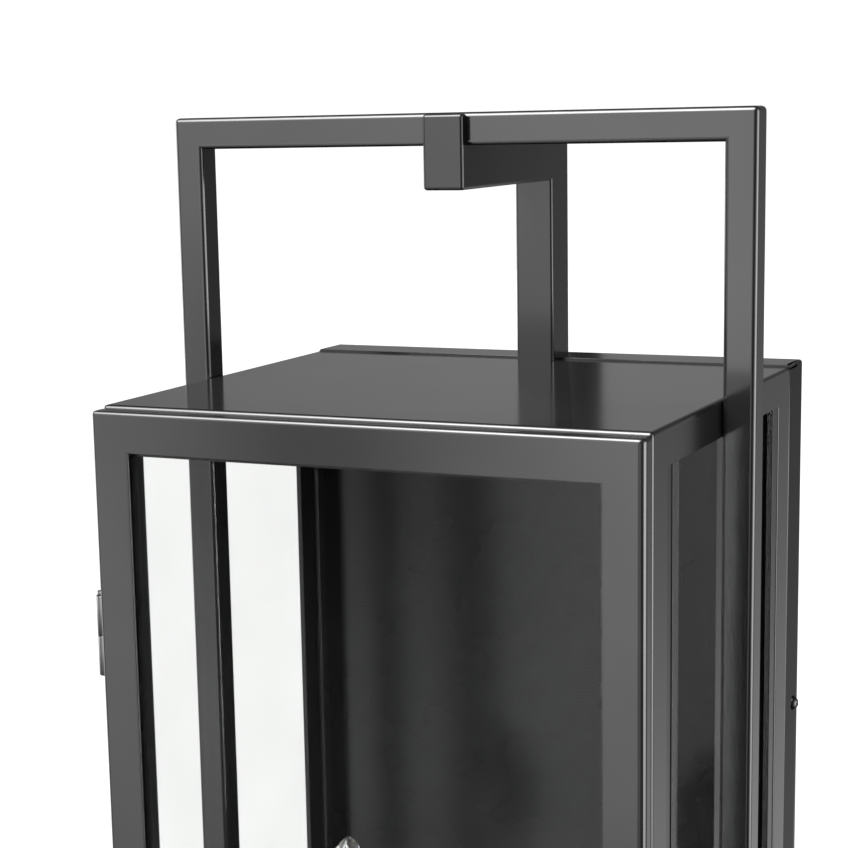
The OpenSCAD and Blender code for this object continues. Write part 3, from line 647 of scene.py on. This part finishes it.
def door_piece():
    """The folded door frame, with returns at its edges"""
    open_x = dglass_hi.x - DOOR_LAP
    open_z = (dglass_lo.z + DOOR_LAP, dglass_hi.z - DOOR_LAP)
    front = door_lo.y + SHEET
    xs = [door_lo.x, door_lo.x + SHEET, -open_x, open_x, door_hi.x - SHEET, door_hi.x]
    ys = [door_lo.y, front, door_hi.y]
    zs = [door_lo.z, door_lo.z + SHEET, *open_z, door_hi.z - SHEET, door_hi.z]

    def solid(x, y, z):
        if y < front:
            return not (abs(x) < open_x and open_z[0] < z < open_z[1])
        return abs(x) > door_hi.x - SHEET or not door_lo.z + SHEET < z < door_hi.z - SHEET

    def seam(mid, along, n):
        return along == 2 and abs(n.y) > 1 and near(abs(mid.x), open_x)

    bm = cells(xs, ys, zs, solid, seam)

    def rule(mid, along, n):
        outer = near(abs(mid.x), door_hi.x) or near(mid.z, door_lo.z) or near(mid.z, door_hi.z)
        if near(mid.y, door_lo.y) and along == 2 and near(mid.x, door_hi.x):
            return DOOR_SIDE_FOLD
        if near(mid.y, door_lo.y) and outer or along == 1 and outer:
            return FOLD
        if near(mid.y, door_hi.y):
            return ROLLED if outer else 0
        if near(mid.y, door_lo.y) and along == 2:
            return ROLLED
        return CUT

    rounded = round_edges(bm, rule)
    piece_from(bm, "door_frame_sheet", "door", coat, ("door_frame",), rounded)


door_piece()


# ---------------------------------------------------------------- lamps

def lathe(profile, at, steps=64):
    """A surface of revolution round Z through the points (r, z) in mm, closed where r is 0"""
    bm = bmesh.new()
    rings = []
    for r, z in profile:
        if r < 1e-4:
            rings.append([bm.verts.new((at[0] * MM, at[1] * MM, z * MM))])
        else:
            rings.append([bm.verts.new(((at[0] + r * math.cos(2 * math.pi * i / steps)) * MM,
                                        (at[1] + r * math.sin(2 * math.pi * i / steps)) * MM, z * MM))
                          for i in range(steps)])
    for a, b in zip(rings, rings[1:]):
        for i in range(steps):
            j = (i + 1) % steps
            corners = [a[i % len(a)], a[j % len(a)], b[j % len(b)], b[i % len(b)]]
            corners = list(dict.fromkeys(corners))
            if len(corners) > 2:
                bm.faces.new(corners)
    bmesh.ops.recalc_face_normals(bm, faces=bm.faces)
    return bm


def bulb(node, name):
    """A blown candle bulb: a smooth shell that swells from the neck and draws in to a soft tip"""
    lo, hi = span(node)
    at = ((lo.x + hi.x) / 2, (lo.y + hi.y) / 2)
    r, length = (hi.x - lo.x) / 2, hi.z - lo.z
    neck, wall, tip_wall = 6.4, 0.8, 1.1
    belly = 0.38        # where it is widest, as a share of its length

    def radius(u):
        if u < belly:
            return neck + (r - neck) * math.sin(math.pi / 2 * u / belly) ** 1.35
        return r * max(0.0, 1 - ((u - belly) / (1 - belly)) ** 2) ** 0.72

    # even steps up to the last sixth, then ever closer ones to the tip
    us = [i / 48 for i in range(40)] + [40 / 48 + 8 / 48 * (1 - (1 - i / 24) ** 2) for i in range(25)]
    outer = [(radius(u), lo.z + u * length) for u in us]
    inner = [(max(radius(u) - wall, 0.0), lo.z + u * (length - tip_wall)) for u in us]
    inner[-1] = (0.0, inner[-1][1])
    outer[-1] = (0.0, hi.z)
    bm = lathe(outer + inner[::-1], at)
    piece_from(bm, name, "housing", bulb_clear, (node,))


bulb("left_bulb_glass", "left_bulb_shell")
bulb("right_bulb_glass", "right_bulb_shell")


# ---------------------------------------------------------------- the CAD nodes that stay

FINISHES = {
    zinc: ["mounting_plate", "back_panel_screws", "strap_screws", "door_frame_screws", "strike_plate",
           "hinge_body_rivets", "hinge_door_rivets", "bracket_screws", "socket_stems", "stem_nuts"],
    coat: ["bottom_plate", "door_knob", "side_screws"],
    coat_in: ["rear_panel", "inner_back_panel", "door_back_frame", "socket_bracket", "candle_cups",
              "left_candle_sleeve", "right_candle_sleeve"],
    dark_zinc: ["upper_hinge_pin", "lower_hinge_pin", "upper_hinge_body_leaf", "upper_hinge_door_leaf",
                "lower_hinge_body_leaf", "lower_hinge_door_leaf"],
    green: ["ground_screw"],
    pane: ["door_glass"],
    side_pane: ["left_glass", "right_glass"],
    brass: ["bulb_bases"],
    plastic: ["strap_end_caps", "magnet_catch"],
    phenolic: ["left_socket", "right_socket"],
    rubber: ["pan_gasket", "wire_grommet"],
    magnet_steel: ["magnet"],
    tungsten: ["bulb_filaments"],
    wires: ["lead_wires", "wire_nuts"],
}
for material, names in FINISHES.items():
    for n in names:
        dress(nodes[n], material)

# Edge widths in mm
WIDTHS = {
    0.15: ["upper_hinge_body_leaf", "upper_hinge_door_leaf", "lower_hinge_body_leaf",
           "lower_hinge_door_leaf", "upper_hinge_pin", "lower_hinge_pin", "side_screws", "door_frame_screws",
           "back_panel_screws", "strap_screws", "bracket_screws", "ground_screw", "strike_plate", "magnet",
           "hinge_body_rivets", "hinge_door_rivets", "wire_grommet"],
    0.25: ["rear_panel", "inner_back_panel", "door_back_frame", "socket_bracket", "mounting_plate",
           "stem_nuts", "socket_stems", "left_socket", "right_socket", "bulb_bases", "door_knob"],
    0.4: ["bottom_plate", "candle_cups", "left_candle_sleeve", "right_candle_sleeve",
          "magnet_catch", "wire_nuts", "pan_gasket"],
    0.3: ["left_glass", "right_glass", "door_glass"],
}
for width, names in WIDTHS.items():
    for n in names:
        soften(n, width)


# ---------------------------------------------------------------- floor, light and camera

def stage_floor():
    """A pale floor just under the lantern, clear from below, which its glossy faces don't mirror"""
    bm = bmesh.new()
    size, z, steps = 6.0, cad_box[0].z - 0.0005, 24
    grid = [[bm.verts.new((size * (i / steps - 0.5), size * (j / steps - 0.5) * 1.4 + 1.0, z))
             for i in range(steps + 1)] for j in range(steps + 1)]
    for j in range(steps):
        for i in range(steps):
            bm.faces.new([grid[j][i], grid[j][i + 1], grid[j + 1][i + 1], grid[j + 1][i]])
    o = object_from(bm, "floor")
    m, ns, ls = new_material("pale floor")
    co = add(ns, "TexCoord").outputs["Object"]
    b = add(ns, "BsdfPrincipled")
    mottle = ramp(ns, ls, noise(ns, ls, co, 3, 2), (0.1, 0.1, 0.1), (0.105, 0.105, 0.105))
    ls.new(mottle, b.inputs["Base Color"])
    b.inputs["Roughness"].default_value = 0.9
    b.inputs["Specular IOR Level"].default_value = 0.0
    b.inputs["Emission Color"].default_value = (1, 1, 1, 1)
    b.inputs["Emission Strength"].default_value = 0.84
    mix = add(ns, "MixShader")
    ls.new(add(ns, "NewGeometry").outputs["Backfacing"], mix.inputs[0])
    ls.new(b.outputs[0], mix.inputs[1])
    ls.new(add(ns, "BsdfTransparent").outputs[0], mix.inputs[2])
    finish_material(ns, ls, mix)
    dress(o, m)
    o.visible_glossy = False
    o.visible_diffuse = False


stage_floor()


def stage_flag():
    """A narrow black flag behind the lantern, which only its glossy top reflects"""
    bm = bmesh.new()
    x, y, width, steps = -0.279, 0.8, 0.034, 6
    rows = [[bm.verts.new((x + width * (i / steps - 0.5), y + 0.004 * math.sin(math.pi * i / steps), z))
             for i in range(steps + 1)] for z in (0.18, 0.3, 0.42, 0.54)]
    for a, b in zip(rows, rows[1:]):
        for i in range(steps):
            bm.faces.new([a[i], a[i + 1], b[i + 1], b[i]])
    o = object_from(bm, "flag")
    flock = moulded("black flock", (0.002, 0.002, 0.002), (0.004, 0.004, 0.004), (0.9, 1.0), 900, 0.2, 0.1)
    dress(o, flock)
    o.visible_camera = o.visible_shadow = o.visible_diffuse = o.visible_transmission = False


stage_flag()

# Soft lobes of studio light: azimuth (0 in front of the door, 90 at its right), elevation, width and
# strength. The backdrop itself is plain white.
LOBES = [
    (-19, -4, 24, 3.6),        # the front faces
    (-27.5, -9, 5.5, -2.6),    # less of it on their lower parts
    (-38, -11, 8, 1.0),        # and a little more towards their left
    (-25, 52, 21, 34.0),       # the bright lines on the upper front folds
    (97, -6, 24, 10.0),        # the right front folds
    (-98, 0, 21, 5.0),         # the left front folds
    (-160, 10, 22, 0.3),       # the top plate
    (163, -26, 14, 0.9),       # the right faces, low down
    (165, 0, 14, 0.15),        # and level
]
AMBIENT = 0.03


def studio():
    world = bpy.data.worlds.new("studio")
    scene.world = world
    world.use_nodes = True
    ns, ls = world.node_tree.nodes, world.node_tree.links
    ns.clear()
    direction = add(ns, "TexCoord").outputs["Generated"]
    total = AMBIENT
    for az, el, width, strength in LOBES:
        a, e = math.radians(az), math.radians(el)
        dot = add(ns, "VectorMath", operation="DOT_PRODUCT")
        dot.inputs[1].default_value = (math.sin(a) * math.cos(e), -math.cos(a) * math.cos(e), math.sin(e))
        ls.new(direction, dot.inputs[0])
        off = maths(ns, ls, "SUBTRACT", dot.outputs["Value"], 1.0)
        tight = maths(ns, ls, "MULTIPLY", off, 1 / (1 - math.cos(math.radians(width))))
        glow = maths(ns, ls, "EXPONENT", tight)
        total = maths(ns, ls, "ADD", maths(ns, ls, "MULTIPLY", glow, strength), total)
    level = maths(ns, ls, "MAXIMUM", total, 0.0)
    light = add(ns, "Background")
    light.inputs["Color"].default_value = (1, 1, 1, 1)
    ls.new(level, light.inputs["Strength"])
    backdrop = add(ns, "Background")
    backdrop.inputs["Color"].default_value = (1, 1, 1, 1)
    backdrop.inputs["Strength"].default_value = 1.05
    path = add(ns, "LightPath")
    mix = add(ns, "MixShader")
    ls.new(path.outputs["Is Camera Ray"], mix.inputs[0])
    ls.new(light.outputs[0], mix.inputs[1])
    ls.new(backdrop.outputs[0], mix.inputs[2])
    out = add(ns, "OutputWorld")
    ls.new(mix.outputs[0], out.inputs["Surface"])


studio()


def make_camera():
    azimuth, pitch, roll = math.radians(26.333), math.radians(-10.278), math.radians(-1.3425)
    forward = Vector((-math.sin(azimuth) * math.cos(pitch), math.cos(azimuth) * math.cos(pitch),
                      math.sin(pitch)))
    right = Vector((math.cos(azimuth), math.sin(azimuth), 0))
    up = right.cross(forward)
    right, up = (right * math.cos(roll) + up * math.sin(roll),
                 up * math.cos(roll) - right * math.sin(roll))
    data = bpy.data.cameras.new("camera")
    data.sensor_width = 36.0
    data.lens = 86.46
    data.shift_x, data.shift_y = 0.0765, 0.0659
    data.clip_start, data.clip_end = 0.01, 50
    o = bpy.data.objects.new("camera", data)
    scene.collection.objects.link(o)
    turn = Matrix((right, up, -forward)).transposed().to_4x4()
    o.matrix_world = Matrix.Translation((0.32227, -0.85344, 0.2571)) @ turn
    scene.camera = o


make_camera()
